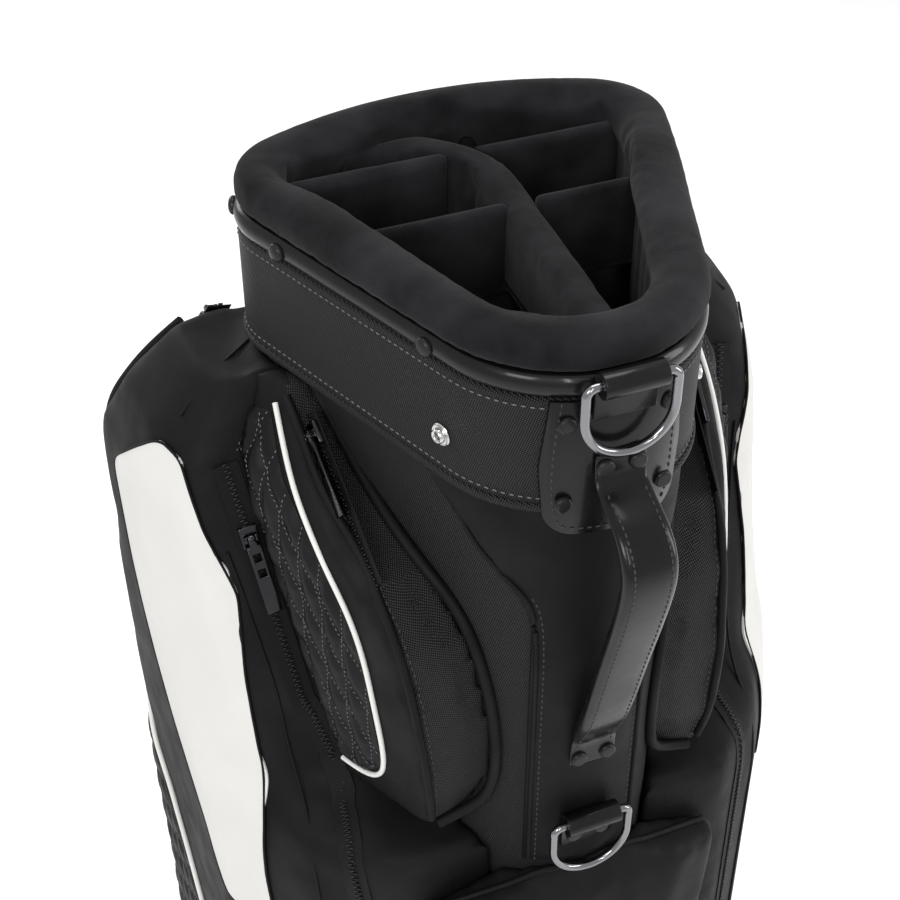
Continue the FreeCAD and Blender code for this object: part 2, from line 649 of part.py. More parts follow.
def build_front_pockets(core):
    gap = GAP + 0.2
    front = FRONT_WALL_Y + gap
    inner = INNER_X - gap
    outline = [(-inner, 90, 0), (-inner, front, 0), (-BALL_X, front, 0), (-BALL_X, BALL_Y, 38),
               (BALL_X, BALL_Y, 38), (BALL_X, front, 0), (inner, front, 0), (inner, 90, 0)]
    profile = [(0, POCKET_LOW, 0), (BALL_Y, POCKET_LOW, 20), (BALL_Y, BALL_TOP - 25, 50),
               (front + 30, BALL_TOP, 30), (0, BALL_TOP, 0)]
    ball = seen_from_top(outline, POCKET_LOW, BALL_TOP).common(seen_from_side(profile)).cut(core)
    save("ball_pocket", ball)
    outline = [(-inner, 90, 0), (-inner, FRONT_POCKET_Y, 26), (inner, FRONT_POCKET_Y, 26), (inner, 90, 0)]
    profile = [(0, FRONT_POCKET_LOW, 0), (FRONT_POCKET_Y, FRONT_POCKET_LOW, 12),
               (FRONT_POCKET_Y, SHOULDER_Z, 40), (FRONT_WALL_TOP_Y + 16, POCKET_TOP, 8), (0, POCKET_TOP, 0)]
    upper = seen_from_top(outline, FRONT_POCKET_LOW, POCKET_TOP).common(seen_from_side(profile)).cut(core)
    save("front_pocket", upper)


def build_hip_pad(core):
    back = BACK_Y - GAP
    side = HIP_TOP - HIP_DROP
    outline = [(-HIP_X, back, 0), (-HIP_X, back - 14, 10), (-46, HIP_Y, 40), (46, HIP_Y, 40),
               (HIP_X, back - 14, 10), (HIP_X, back, 0)]
    profile = [(0, HIP_TOP, 0), (NOSE_Y - SPINE_OUT - 2.5, HIP_TOP, 3), (HIP_Y, HIP_TOP - 70, 40),
               (HIP_Y, HIP_LOW + 40, 40), (NOSE_Y - CORE - 3, HIP_LOW, 3), (0, HIP_LOW, 0)]
    face = [(-HIP_X, HIP_LOW, 12), (HIP_X, HIP_LOW, 12), (HIP_X, side, 8), (0, HIP_TOP + 6, 120),
            (-HIP_X, side, 8)]
    pad = seen_from_top(outline, HIP_LOW, HIP_TOP).common(seen_from_side(profile))
    save("hip_pad", pad.common(seen_from_front(face)).cut(core))


def build_pockets():
    core = prism(CORE, 0, 1000)
    side, garment, top, ball, front = make_zips()
    for zipper in (side, garment, top):
        zipper.save_pair()
    for zipper in (ball, front):
        zipper.save()
    build_side_and_garment(core, side)
    build_front_pockets(core)
    build_hip_pad(core)


def main():
    os.makedirs("parts", exist_ok=True)
    build_base()
    build_body()
    throat, mouth = build_cuff()
    build_dividers(throat, mouth)
    build_spine()
    build_loop("upper_ring_loop", UPPER_RING_Z, PATCH_OUT)
    build_loop("lower_ring_loop", LOWER_RING_Z, SPINE_OUT)
    build_ring("upper_d_ring", UPPER_RING_Z, PATCH_OUT)
    build_ring("lower_d_ring", LOWER_RING_Z, SPINE_OUT)
    y0, y1 = build_handle()
    build_rivets(y0, y1)
    build_snaps()
    build_pockets()


main()
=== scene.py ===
import json
import math

import bpy
from mathutils import Matrix, Vector
from mathutils.bvhtree import BVHTree


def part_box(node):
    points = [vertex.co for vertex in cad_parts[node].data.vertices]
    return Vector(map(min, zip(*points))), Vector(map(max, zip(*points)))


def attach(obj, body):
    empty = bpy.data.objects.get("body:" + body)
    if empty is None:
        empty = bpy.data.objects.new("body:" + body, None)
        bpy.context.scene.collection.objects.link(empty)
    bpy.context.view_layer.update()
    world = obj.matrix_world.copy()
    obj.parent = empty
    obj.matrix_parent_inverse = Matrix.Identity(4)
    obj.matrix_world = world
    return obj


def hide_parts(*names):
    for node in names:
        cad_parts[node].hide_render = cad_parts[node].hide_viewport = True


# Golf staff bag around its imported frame: metres, +Z up, -Y the spine with the carry handle.
# Places written in millimetres go through mm().

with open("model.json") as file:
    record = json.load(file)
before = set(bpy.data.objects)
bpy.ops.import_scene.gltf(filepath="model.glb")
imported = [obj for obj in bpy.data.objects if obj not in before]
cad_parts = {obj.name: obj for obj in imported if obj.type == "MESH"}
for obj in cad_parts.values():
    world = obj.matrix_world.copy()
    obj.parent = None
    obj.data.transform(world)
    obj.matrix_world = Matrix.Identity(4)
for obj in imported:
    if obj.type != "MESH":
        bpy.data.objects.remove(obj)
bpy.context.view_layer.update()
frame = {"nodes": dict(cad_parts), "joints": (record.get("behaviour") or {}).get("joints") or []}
nodes = frame["nodes"]
scene = bpy.context.scene

BODY = "bag"
SIDES = ("left", "right")

CLOTH_FRAMES = 18
CALM_REACH = 0.010
STITCH_L = 0.0030
STITCH_R = 0.00042
STITCH_PITCH = 0.0046
STITCH_LIFT = 0.0001
BAND_THREAD_LIFT = 0.0002
PIPING_EASE = 24
BINDING_R = 0.0026
GUSSET_CORD_R = 0.0036
WHITE_CORD_R = 0.0017
RIM_CORD_R = 0.0024
EDGE_CORD_R = 0.0030
TAB_HALF_W = 0.0142
TAB_HALF_T = 0.0011
GRIP_MORE_W = 0.0012
GRIP_MORE_T = 0.0042
RING_STEP = 0.005
WELT_R = 0.0071
WELT_SINK = 0.0042
HEM_R = 0.0026
HEM_DROP = 0.0035
SEAM_R = 0.0009
CORD_STEP = 0.004
GIRDLE_POINTS = 400
TURNED_SIDES = 28
CORNER_STEPS = 6
ZIP_PITCH = 0.0018
TAPE_W = 0.0155
QUILT_STEP = 0.0155
QUILT_RISE = 0.0042
QUILT_LEAN = 18.5
QUILT_THREAD_LIFT = 0.0002
RELIEF_MARGIN = 0.007
QUILT_STITCH_L = 0.0020
QUILT_STITCH_R = 0.00030
QUILT_STITCH_PITCH = 0.0033


def mm(*xyz):
    return Vector(xyz) * 0.001


# ---- small modelling tools -----------------------------------------------------
def only(obj):
    """Makes obj the one selected and active object."""
    bpy.ops.object.select_all(action="DESELECT")
    obj.select_set(True)
    bpy.context.view_layer.objects.active = obj


def modify(obj, kind, **settings):
    """Adds one modifier with its settings and applies it."""
    only(obj)
    mod = obj.modifiers.new(kind.title(), kind)
    for key, value in settings.items():
        setattr(mod, key, value)
    bpy.ops.object.modifier_apply(modifier=mod.name)


def in_edit(obj, *steps):
    """Runs edit-mode steps on the whole mesh."""
    only(obj)
    bpy.ops.object.mode_set(mode="EDIT")
    bpy.ops.mesh.select_all(action="SELECT")
    for step in steps:
        step()
    bpy.ops.object.mode_set(mode="OBJECT")


def face_out():
    bpy.ops.mesh.normals_make_consistent(inside=False)


def merge():
    bpy.ops.mesh.remove_doubles(threshold=1e-5)
    face_out()


def box_uv():
    """Flat mapping in metres from the six sides, for weaves and grain."""
    bpy.ops.uv.cube_project(cube_size=1.0, correct_aspect=False, clip_to_bounds=False,
                            scale_to_bounds=False)


def new_object(name, verts, faces):
    mesh = bpy.data.meshes.new(name)
    mesh.from_pydata(verts, [], faces)
    obj = bpy.data.objects.new(name, mesh)
    scene.collection.objects.link(obj)
    return obj


def copy_of(node, name):
    """A merged copy of a CAD node's mesh to work on."""
    mesh = nodes[node].data.copy()
    mesh.materials.clear()
    obj = bpy.data.objects.new(name, mesh)
    scene.collection.objects.link(obj)
    in_edit(obj, merge)
    return obj


def smooth(obj, angle=40):
    only(obj)
    bpy.ops.object.shade_smooth_by_angle(angle=math.radians(angle))


def wear(obj, material, slot, *replaced, body=BODY, map_uv=True):
    """Gives a finished piece its material and body, and hides what it stands for; slot is not used."""
    if map_uv:
        in_edit(obj, box_uv)
    if material is not None:
        obj.data.materials.clear()
        obj.data.materials.append(material)
    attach(obj, body)
    if replaced:
        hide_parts(*replaced)
    return obj


def mirror_of(obj, name):
    """The same piece on the bag's other side, with its faces turned out again."""
    twin = bpy.data.objects.new(name, obj.data.copy())
    scene.collection.objects.link(twin)
    twin.data.transform(Matrix.Scale(-1, 4, (1, 0, 0)))
    twin.data.flip_normals()
    return twin


def tree_of(*objs):
    """Search trees of some finished meshes."""
    bpy.context.view_layer.update()
    return [BVHTree.FromPolygons([v.co for v in o.data.vertices], [p.vertices for p in o.data.polygons])
            for o in objs]


def nearest(trees, point):
    hits = [t.find_nearest(point) for t in trees]
    return min((h for h in hits if h[0] is not None), key=lambda h: h[3])


# ---- lines laid on surfaces ----------------------------------------------------
def spline(points):
    """Smooth line drawn towards some points, as many short steps."""
    curve = bpy.data.curves.new("line", "CURVE")
    curve.dimensions = "3D"
    s = curve.splines.new("NURBS")
    s.points.add(len(points) - 1)
    for p, co in zip(s.points, points):
        p.co = (*co, 1)
    s.order_u = 3
    s.use_endpoint_u = True
    s.resolution_u = 16
    obj = bpy.data.objects.new("line", curve)
    mesh = bpy.data.meshes.new_from_object(obj)
    line = [v.co.copy() for v in mesh.vertices]
    bpy.data.objects.remove(obj)
    bpy.data.meshes.remove(mesh)
    return line


def even(line, pitch, closed=False):
    """The same line at an even pitch."""
    pts = list(line) + ([line[0]] if closed else [])
    lengths = [0.0]
    for a, b in zip(pts, pts[1:]):
        lengths.append(lengths[-1] + (b - a).length)
    count = max(2, round(lengths[-1] / pitch))
    out = []
    i = 0
    for k in range(count + (0 if closed else 1)):
        want = lengths[-1] * k / count
        while i < len(lengths) - 2 and lengths[i + 1] < want:
            i += 1
        span = lengths[i + 1] - lengths[i]
        out.append(pts[i].lerp(pts[i + 1], (want - lengths[i]) / span if span else 0.0))
    return out


def eased(rows, passes):
    """Rows with their small waves and turns of the normal averaged out."""
    for _ in range(passes):
        inner = []
        for (a, na), (b, nb), (c, nc) in zip(rows, rows[1:], rows[2:]):
            inner.append(((a + 2 * b + c) / 4, (na + 2 * nb + nc).normalized()))
        rows = [rows[0]] + inner + [rows[-1]]
    return rows


def lay(line, surface, lift=0.0, ease=0):
    """(point, normal) pairs of a line dropped on the nearest surface."""
    rows = []
    for p in line:
        spot, normal, _, _ = nearest(surface, p)
        rows.append((spot + normal * lift, normal))
    return eased(rows, ease)


def heading(rows, i, closed=False):
    """Direction of the line at row i."""
    last = len(rows) - 1
    ahead, behind = ((i + 1) % len(rows), i - 1) if closed else (min(i + 1, last), max(i - 1, 0))
    return (rows[ahead][0] - rows[behind][0]).normalized()


def hoop(a, b, count):
    """Faces between two rings of corners that start at a and b."""
    return [(a + j, a + (j + 1) % count, b + (j + 1) % count, b + j) for j in range(count)]


def sweep(name, rows, profile, closed=False):
    """A strip with a fixed section of (across, out) corners along rows of points and normals."""
    k = len(profile)
    verts, faces = [], []
    count = len(rows)
    for i, (p, n) in enumerate(rows):
        t = heading(rows, i, closed)
        side = n.cross(t).normalized()
        out = t.cross(side)
        verts += [p + side * a + out * b for a, b in profile]
    for i in range(count if closed else count - 1):
        faces += hoop(i * k, (i + 1) % count * k, k)
    if not closed:
        faces += [tuple(range(k))[::-1], tuple(range((count - 1) * k, count * k))]
    obj = new_object(name, verts, faces)
    in_edit(obj, face_out)
    return obj


def round_section(r, corners=8, squash=1.0):
    turns = [2 * math.pi * i / corners for i in range(corners)]
    return [(r * math.cos(q), r * squash * math.sin(q)) for q in turns]


def flat_section(width, thick):
    """Section of a flat band with eased edges."""
    w, t = width / 2, thick / 2
    e = min(w, t) * 0.6
    return [(-w, -t + e), (-w + e, -t), (w - e, -t), (w, -t + e),
            (w, t - e), (w - e, t), (-w + e, t), (-w, t - e)]


def piping(name, points, surface, radius, sink=0.3):
    """Round cord sewn along a seam, a little sunk in the surface; the points are in millimetres."""
    line = even(spline([mm(*p) for p in points]), CORD_STEP)
    rows = lay(line, surface, radius * (1 - sink), PIPING_EASE)
    obj = sweep(name, rows, round_section(radius))
    smooth(obj, 60)
    return obj


def bead(length, radius):
    """One small rounded bar along X at the origin: its corners and faces."""
    bpy.ops.object.select_all(action="DESELECT")
    bpy.ops.mesh.primitive_uv_sphere_add(segments=6, ring_count=5, radius=1)
    obj = bpy.context.active_object
    obj.data.transform(Matrix.Diagonal((length / 2, radius * 1.25, radius, 1)))
    part = [v.co.copy() for v in obj.data.vertices], [tuple(p.vertices) for p in obj.data.polygons]
    bpy.data.objects.remove(obj)
    return part


def tooth(length, width, height):
    """One moulded zip tooth: a block narrowed at its locking end."""
    bpy.ops.object.select_all(action="DESELECT")
    bpy.ops.mesh.primitive_cube_add(size=1)
    obj = bpy.context.active_object
    obj.data.transform(Matrix.Diagonal((length, width, height, 1)))
    for v in obj.data.vertices:
        if v.co.y > 0:
            v.co.x *= 0.7
    modify(obj, "BEVEL", width=height * 0.2, segments=1, limit_method="NONE")
    part = [v.co.copy() for v in obj.data.vertices], [tuple(p.vertices) for p in obj.data.polygons]
    bpy.data.objects.remove(obj)
    return part


def frame_at(rows, i, flip=False):
    """Matrix that puts +X along the line, +Z out of the surface at row i."""
    p, n = rows[i]
    t = heading(rows, i)
    side = n.cross(t).normalized()
    if flip:
        t, side = -t, -side
    out = t.cross(side)
    m = Matrix((t, side, out)).transposed().to_4x4()
    m.translation = p
    return m


def repeat(name, part, places):
    """Copies of one small part in one mesh."""
    verts, faces = [], []
    for m in places:
        start = len(verts)
        verts += [m @ v for v in part[0]]
        faces += [tuple(i + start for i in f) for f in part[1]]
    obj = new_object(name, verts, faces)
    smooth(obj, 60)
    return obj


def stitch_rows(name, lines, surface):
    """Runs of thread stitches along lines on a surface, as one piece."""
    places = []
    for line in lines:
        rows = lay(even(line, STITCH_PITCH), surface, STITCH_LIFT)
        places += [frame_at(rows, i) for i in range(len(rows))]
    return repeat(name, bead(STITCH_L, STITCH_R), places)


# ---- soft forms ------------------------------------------------------------------
def swell(obj, pressure, cap, near):
    """Blows the form up as cloth; nothing moves more than cap, and less beside what is near."""
    rest = [v.co.copy() for v in obj.data.vertices]
    only(obj)
    mod = obj.modifiers.new("Cloth", "CLOTH")
    mod.settings.quality = 4
    mod.settings.mass = 0.3
    mod.settings.use_pressure = True
    mod.settings.uniform_pressure_force = pressure
    mod.settings.tension_stiffness = 12
    mod.settings.compression_stiffness = 12
    mod.settings.bending_stiffness = 1.5
    mod.settings.effector_weights.gravity = 0
    mod.point_cache.frame_start = 1
    mod.point_cache.frame_end = CLOTH_FRAMES
    for f in range(1, CLOTH_FRAMES + 1):
        scene.frame_set(f)
    bpy.ops.object.modifier_apply(modifier=mod.name)
    scene.frame_set(1)
    trees = tree_of(*near)
    for v, start in zip(obj.data.vertices, rest):
        move = v.co - start
        room = min(1.0, nearest(trees, start)[3] / CALM_REACH) if trees else 1.0
        limit = cap * room
        if move.length > limit:
            move *= limit / move.length
        v.co = start + move


def stuffed(node, name, voxel, relax, pressure, cap, near=(), levels=0):
    """A CAD solid as a stuffed fabric form: even mesh, rounded edges, swollen faces."""
    obj = copy_of(node, name)
    modify(obj, "REMESH", mode="VOXEL", voxel_size=voxel)
    modify(obj, "SMOOTH", factor=0.5, iterations=relax)
    swell(obj, pressure, cap, [nodes[n] for n in near])
    if levels:
        modify(obj, "SUBSURF", levels=levels, render_levels=levels)
    smooth(obj, 80)
    return obj


# ---- materials ---------------------------------------------------------------------
class Finish:
    """A material under construction: short names for its nodes and links."""

    def __init__(self, name, color, roughness, **sockets):
        self.material = bpy.data.materials.new(name)
        self.material.use_nodes = True
        self.nodes = self.material.node_tree.nodes
        self.links = self.material.node_tree.links
        self.shader = self.nodes["Principled BSDF"]
        self.shader.inputs["Base Color"].default_value = (*color, 1)
        self.shader.inputs["Roughness"].default_value = roughness
        for key, value in sockets.items():
            self.shader.inputs[key.replace("_", " ")].default_value = value
        self.coord = self.nodes.new("ShaderNodeTexCoord")
        self.height = None

    def link(self, a, b):
        self.links.new(a, b)

    def noise(self, scale, detail):
        n = self.nodes.new("ShaderNodeTexNoise")
        n.inputs["Scale"].default_value = scale
        n.inputs["Detail"].default_value = detail
        self.link(self.coord.outputs["Object"], n.inputs["Vector"])
        return n.outputs["Fac"]

    def cells(self, scale):
        n = self.nodes.new("ShaderNodeTexVoronoi")
        n.inputs["Scale"].default_value = scale
        self.link(self.coord.outputs["Object"], n.inputs["Vector"])
        return n.outputs["Distance"]

    def math(self, kind, a, b=0.0):
        n = self.nodes.new("ShaderNodeMath")
        n.operation = kind
        for socket, value in zip(n.inputs, (a, b)):
            if isinstance(value, (int, float)):
                socket.default_value = value
            else:
                self.link(value, socket)
        return n.outputs[0]

    def spread(self, value, low, high, to_low, to_high):
        n = self.nodes.new("ShaderNodeMapRange")
        self.link(value, n.inputs["Value"])
        for key, v in zip(("From Min", "From Max", "To Min", "To Max"), (low, high, to_low, to_high)):
            n.inputs[key].default_value = v
        return n.outputs["Result"]

    def tint(self, value, dark, light):
        """Colour that runs from dark to light with a value from 0 to 1."""
        n = self.nodes.new("ShaderNodeMix")
        n.data_type = "RGBA"
        n.inputs["A"].default_value = (*dark, 1)
        n.inputs["B"].default_value = (*light, 1)
        self.link(value, n.inputs["Factor"])
        self.link(n.outputs["Result"], self.shader.inputs["Base Color"])

    def vary(self, value, color, dark, light):
        """Colour that runs between a darker and a lighter share of itself."""
        self.tint(value, tuple(c * dark for c in color), tuple(c * light for c in color))

    def rough(self, value, low, high):
        self.link(self.spread(value, 0.3, 0.7, low, high), self.shader.inputs["Roughness"])

    def bump(self, value, distance, strength=1.0):
        """Adds a layer of relief, in metres."""
        n = self.nodes.new("ShaderNodeBump")
        n.inputs["Distance"].default_value = distance
        n.inputs["Strength"].default_value = strength
        self.link(value, n.inputs["Height"])
        if self.height is not None:
            self.link(self.height, n.inputs["Normal"])
        self.height = n.outputs["Normal"]
        self.link(self.height, self.shader.inputs["Normal"])


def make_velour():
    f = Finish("velour", (0.006, 0.006, 0.007), 0.95, Sheen_Weight=0.06, Sheen_Roughness=0.4,
               Specular_IOR_Level=0.08)
    crush = f.noise(26, 4)
    f.tint(f.spread(crush, 0.35, 0.68, 0, 1), (0.0050, 0.0050, 0.0057), (0.017, 0.017, 0.019))
    f.bump(f.noise(1900, 2), 0.0006, 0.7)
    f.bump(f.noise(90, 3), 0.0012, 0.5)
    return f.material


def make_twill():
    """Ballistic twill: stout threads that pass over two and under two, with a painted highlight on each
    thread crown.
    """
    f = Finish("twill", (0.010, 0.010, 0.011), 0.5, Specular_IOR_Level=0.14)
    split = f.nodes.new("ShaderNodeSeparateXYZ")
    f.link(f.coord.outputs["UV"], split.inputs[0])
    turn = 2 * math.pi / 0.0019
    u = f.math("MULTIPLY", split.outputs[0], turn)
    v = f.math("MULTIPLY", split.outputs[1], turn)
    warp = f.math("SINE", f.math("ADD", u, f.math("MULTIPLY", v, 0.5)))
    weft = f.math("SINE", f.math("SUBTRACT", v, f.math("MULTIPLY", u, 0.5)))
    weave = f.math("MULTIPLY", warp, weft)
    threads = f.spread(weave, -1, 1, 0, 1)
    # Painted highlight: the base colour is lifted on the raised thread crowns to stand in for their glints;
    # the weave relief itself is the bump below.
    f.tint(f.math("POWER", threads, 2.2), (0.0016, 0.0016, 0.0018), (0.062, 0.062, 0.066))
    f.bump(threads, 0.0009, 1.0)
    f.bump(f.noise(60, 2), 0.001, 0.25)
    return f.material


def make_leather(name, color, roughness, grain, coat=0.0, dark=0.75, light=1.5):
    """Synthetic leather: pebble grain over slow waves, rubbed paler and smoother in patches."""
    f = Finish(name, color, roughness, Coat_Weight=coat, Coat_Roughness=0.12, Specular_IOR_Level=0.13)
    wearing = f.noise(18, 5)
    f.vary(f.spread(wearing, 0.35, 0.7, 0, 1), color, dark, light)
    f.rough(f.noise(45, 4), roughness - 0.05, roughness + 0.1)
    f.bump(f.cells(1250), grain, 0.6)
    f.bump(f.noise(420, 3), grain * 2, 0.35)
    f.bump(f.noise(38, 2), 0.0010, 0.25)
    return f.material


def make_metal(name, color, roughness):
    f = Finish(name, color, roughness, Metallic=1.0)
    f.rough(f.noise(140, 4), roughness * 0.7, roughness * 1.5)
    f.bump(f.noise(900, 2), 0.00008, 0.35)
    return f.material


def make_moulded(name, color, roughness, grain=0.00015):
    f = Finish(name, color, roughness, Specular_IOR_Level=0.18)
    f.vary(f.spread(f.noise(30, 4), 0.3, 0.7, 0, 1), color, 0.8, 1.4)
    f.rough(f.noise(70, 3), roughness - 0.08, roughness + 0.08)
    f.bump(f.noise(1500, 2), grain, 0.8)
    return f.material


def make_thread(name, color):
    f = Finish(name, color, 0.6, Specular_IOR_Level=0.15)
    f.vary(f.noise(2600, 2), color, 0.55, 1.0)
    f.bump(f.noise(4200, 1), 0.0002, 0.8)
    return f.material


VELOUR = make_velour()
TWILL = make_twill()
LEATHER = make_leather("matt_leather", (0.0042, 0.0042, 0.0047), 0.6, 0.00016)
GLOSS = make_leather("gloss_leather", (0.0030, 0.0030, 0.0034), 0.28, 0.00006, coat=0.24)
WHITE = make_leather("white_leather", (0.60, 0.592, 0.57), 0.5, 0.00010, dark=0.98, light=1.02)
QUILT = make_leather("quilted_leather", (0.006, 0.006, 0.0066), 0.40, 0.00012, light=1.8)
WHITE_PIPING = make_leather("white_piping", (0.68, 0.672, 0.65), 0.38, 0.00006, dark=0.98, light=1.02)
STEEL = make_metal("dark_chrome", (0.22, 0.22, 0.23), 0.14)
BRIGHT = make_metal("nickel", (0.55, 0.55, 0.54), 0.2)
GUNMETAL = make_metal("black_chrome", (0.045, 0.045, 0.048), 0.16)
ENAMEL = make_moulded("black_enamel", (0.012, 0.012, 0.013), 0.28, 0.00003)
TEETH = make_moulded("zip_teeth", (0.013, 0.013, 0.014), 0.34, 0.00004)
RUBBER = make_moulded("rubber", (0.014, 0.014, 0.015), 0.7)
SHELL = make_moulded("shell_plastic", (0.018, 0.018, 0.019), 0.5)
ROD = make_metal("rod_aluminium", (0.6, 0.61, 0.62), 0.35)
DARK_THREAD = make_thread("dark_thread", (0.055, 0.055, 0.058))
PALE_THREAD = make_thread("pale_thread", (0.16, 0.16, 0.165))
TAPE = make_thread("zip_tape", (0.005, 0.005, 0.0055))


# ---- camera, light and floor -------------------------------------------------------
def aim(obj, eye, azimuth, elevation):
    obj.location = eye
    obj.rotation_euler = (math.radians(90 - elevation), 0, math.radians(azimuth))


def soft_box(name, place, target, size, power):
    lamp = bpy.data.lights.new(name, "AREA")
    lamp.shape = "RECTANGLE"
    lamp.size, lamp.size_y = size
    lamp.energy = power
    obj = bpy.data.objects.new(name, lamp)
    scene.collection.objects.link(obj)
    obj.location = place
    obj.rotation_euler = (Vector(target) - Vector(place)).to_track_quat("-Z", "Y").to_euler()


def make_studio():
    bpy.ops.object.select_all(action="DESELECT")
    bpy.ops.mesh.primitive_plane_add(size=14, location=(0, 0, 0))
    floor = bpy.context.active_object
    floor.name = "floor"
    f = Finish("floor_paper", (0.96, 0.96, 0.96), 0.95, Specular_IOR_Level=0.1)
    f.bump(f.noise(900, 2), 0.0002, 0.3)
    floor.data.materials.append(f.material)
    world = bpy.data.worlds.new("studio")
    world.use_nodes = True
    world.node_tree.nodes["Background"].inputs["Color"].default_value = (1, 1, 1, 1)
    world.node_tree.nodes["Background"].inputs["Strength"].default_value = 0.80
    scene.world = world
    scene.view_settings.view_transform = "Standard"
    aim_at = (0, 0, 0.75)
    soft_box("key", (-1.5, -1.3, 2.0), aim_at, (0.7, 0.9), 21)
    soft_box("side", (1.9, -0.9, 1.3), aim_at, (0.5, 1.6), 20)
    soft_box("strip", (-0.5, -1.8, 1.9), aim_at, (0.10, 1.2), 9)
    soft_box("top", (0.1, 0.3, 2.6), aim_at, (1.2, 0.7), 16)
    soft_box("rear", (-0.6, 2.0, 1.5), aim_at, (1.2, 0.8), 16)
    lens = bpy.data.cameras.new("camera")
    lens.lens = 68
    lens.sensor_width = 36
    camera = bpy.data.objects.new("camera", lens)
    scene.collection.objects.link(camera)
    aim(camera, (-0.3235, -0.7209, 1.36225), -22, 38.5)
    scene.camera = camera


make_studio()


# ---- places read from the frame ------------------------------------------------------
def lines_of(node):
    """Lowest and highest Z of a node."""
    low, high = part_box(node)
    return low.z, high.z


HEM_Z, BAND_TOP = lines_of("cuff_band")
TRIM_LOW, TRIM_TOP = lines_of("cuff_trim")
joint = {j["name"]: j for j in frame["joints"]}


def girdle(trees, z, lift=0.0):
    """(point, normal) pairs round the outside of the bag at one height."""
    rows = []
    for i in range(GIRDLE_POINTS):
        turn = 2 * math.pi * i / GIRDLE_POINTS
        out = Vector((math.cos(turn), math.sin(turn), 0))
        hits = [t.ray_cast(Vector((0, 0, z)) + out * 0.5, -out) for t in trees]
        spot, normal, _, _ = min((h for h in hits if h[0] is not None), key=lambda h: h[3])
        normal.z = 0
        rows.append((spot + normal.normalized() * lift, normal.normalized()))
    return rows


def even_rows(rows, pitch):
    """Rows of a closed line at an even pitch, with normals looked up from the old ones."""
    line = even([p for p, _ in rows], pitch, closed=True)
    out = []
    for p in line:
        near = min(rows, key=lambda r: (r[0] - p).length_squared)
        out.append((p, near[1]))
    return out


def girdle_uv(obj, rows):
    """Weave mapping that runs along the girdle: U is the distance round, V the height."""
    total, table = 0.0, []
    for i, (p, _) in enumerate(rows):
        table.append((math.atan2(p.y, p.x) % (2 * math.pi), total))
        total += (rows[(i + 1) % len(rows)][0] - p).length
    step = 2 * math.pi / len(rows)
    layer = obj.data.uv_layers.active or obj.data.uv_layers.new(name="UVMap")
    for face in obj.data.polygons:
        home = math.atan2(face.center.y, face.center.x) % (2 * math.pi)
        for loop in face.loop_indices:
            co = obj.data.vertices[obj.data.loops[loop].vertex_index].co
            turn = math.atan2(co.y, co.x) % (2 * math.pi)
            if turn - home > math.pi:
                turn -= 2 * math.pi
            if home - turn > math.pi:
                turn += 2 * math.pi
            at = turn / step
            i = math.floor(at)
            a = table[i % len(table)][1] + total * (i // len(table))
            b = table[(i + 1) % len(table)][1] + total * ((i + 1) // len(table))
            layer.data[loop].uv = (a + (b - a) * (at - i), co.z)


def coat(node, material):
    """A better material on a CAD node that stays."""
    obj = nodes[node]
    if not obj.material_slots:
        obj.data.materials.append(material)
    for s in obj.material_slots:
        s.material = material


def dressed(node, material, slot, bevel=0.0, segments=2, body=BODY):
    """A CAD node's shape with eased edges, finished and riding where the node does."""
    obj = copy_of(node, node + "_shown")
    if bevel:
        modify(obj, "BEVEL", width=bevel, segments=segments, limit_method="ANGLE",
               angle_limit=math.radians(35), use_clamp_overlap=True)
    smooth(obj, 35)
    return wear(obj, material, slot, node, body=body)


def paint(obj, material, test):
    """A second material on the faces whose centre passes a test."""
    obj.data.materials.append(material)
    index = len(obj.data.materials) - 1
    for face in obj.data.polygons:
        if test(face.center):
            face.material_index = index


def pair(obj, material, slot, stem, replaced=None):
    """Finishes a left piece and its mirror image."""
    twin = mirror_of(obj, stem + "_right")
    obj.name = stem + "_left"
    for side, piece in zip(SIDES, (obj, twin)):
        names = [replaced + "_" + side] if replaced else []
        wear(piece, material, slot, *names)
    return obj, twin


# ---- base and core ---------------------------------------------------------------------
def make_base():
    """Rubber cup with two raised beads, on four feet."""
    cup = dressed("base_cup", RUBBER, "base_rubber", 0.002, 3)
    trees = tree_of(cup)
    for i, z in enumerate((0.016, 0.052)):
        rows = even_rows(girdle(trees, z), 0.006)
        bead_ring = sweep(f"base_bead_{i}", rows, round_section(0.0016), closed=True)
        smooth(bead_ring, 60)
        wear(bead_ring, RUBBER, "base_rubber")
    dressed("base_feet", RUBBER, "base_rubber", 0.0015, 2)


def make_core():
    """Tube, ring and rods inside, and the twill cover over them."""
    for node, material in (("body_shell", SHELL), ("cuff_ring", SHELL), ("stay_rods", ROD)):
        coat(node, material)
    cover = copy_of("body_cover", "body_cover_shown")
    smooth(cover, 35)
    girdle_uv(cover, girdle(tree_of(cover), 0.4))
    return wear(cover, TWILL, "twill", "body_cover", map_uv=False)


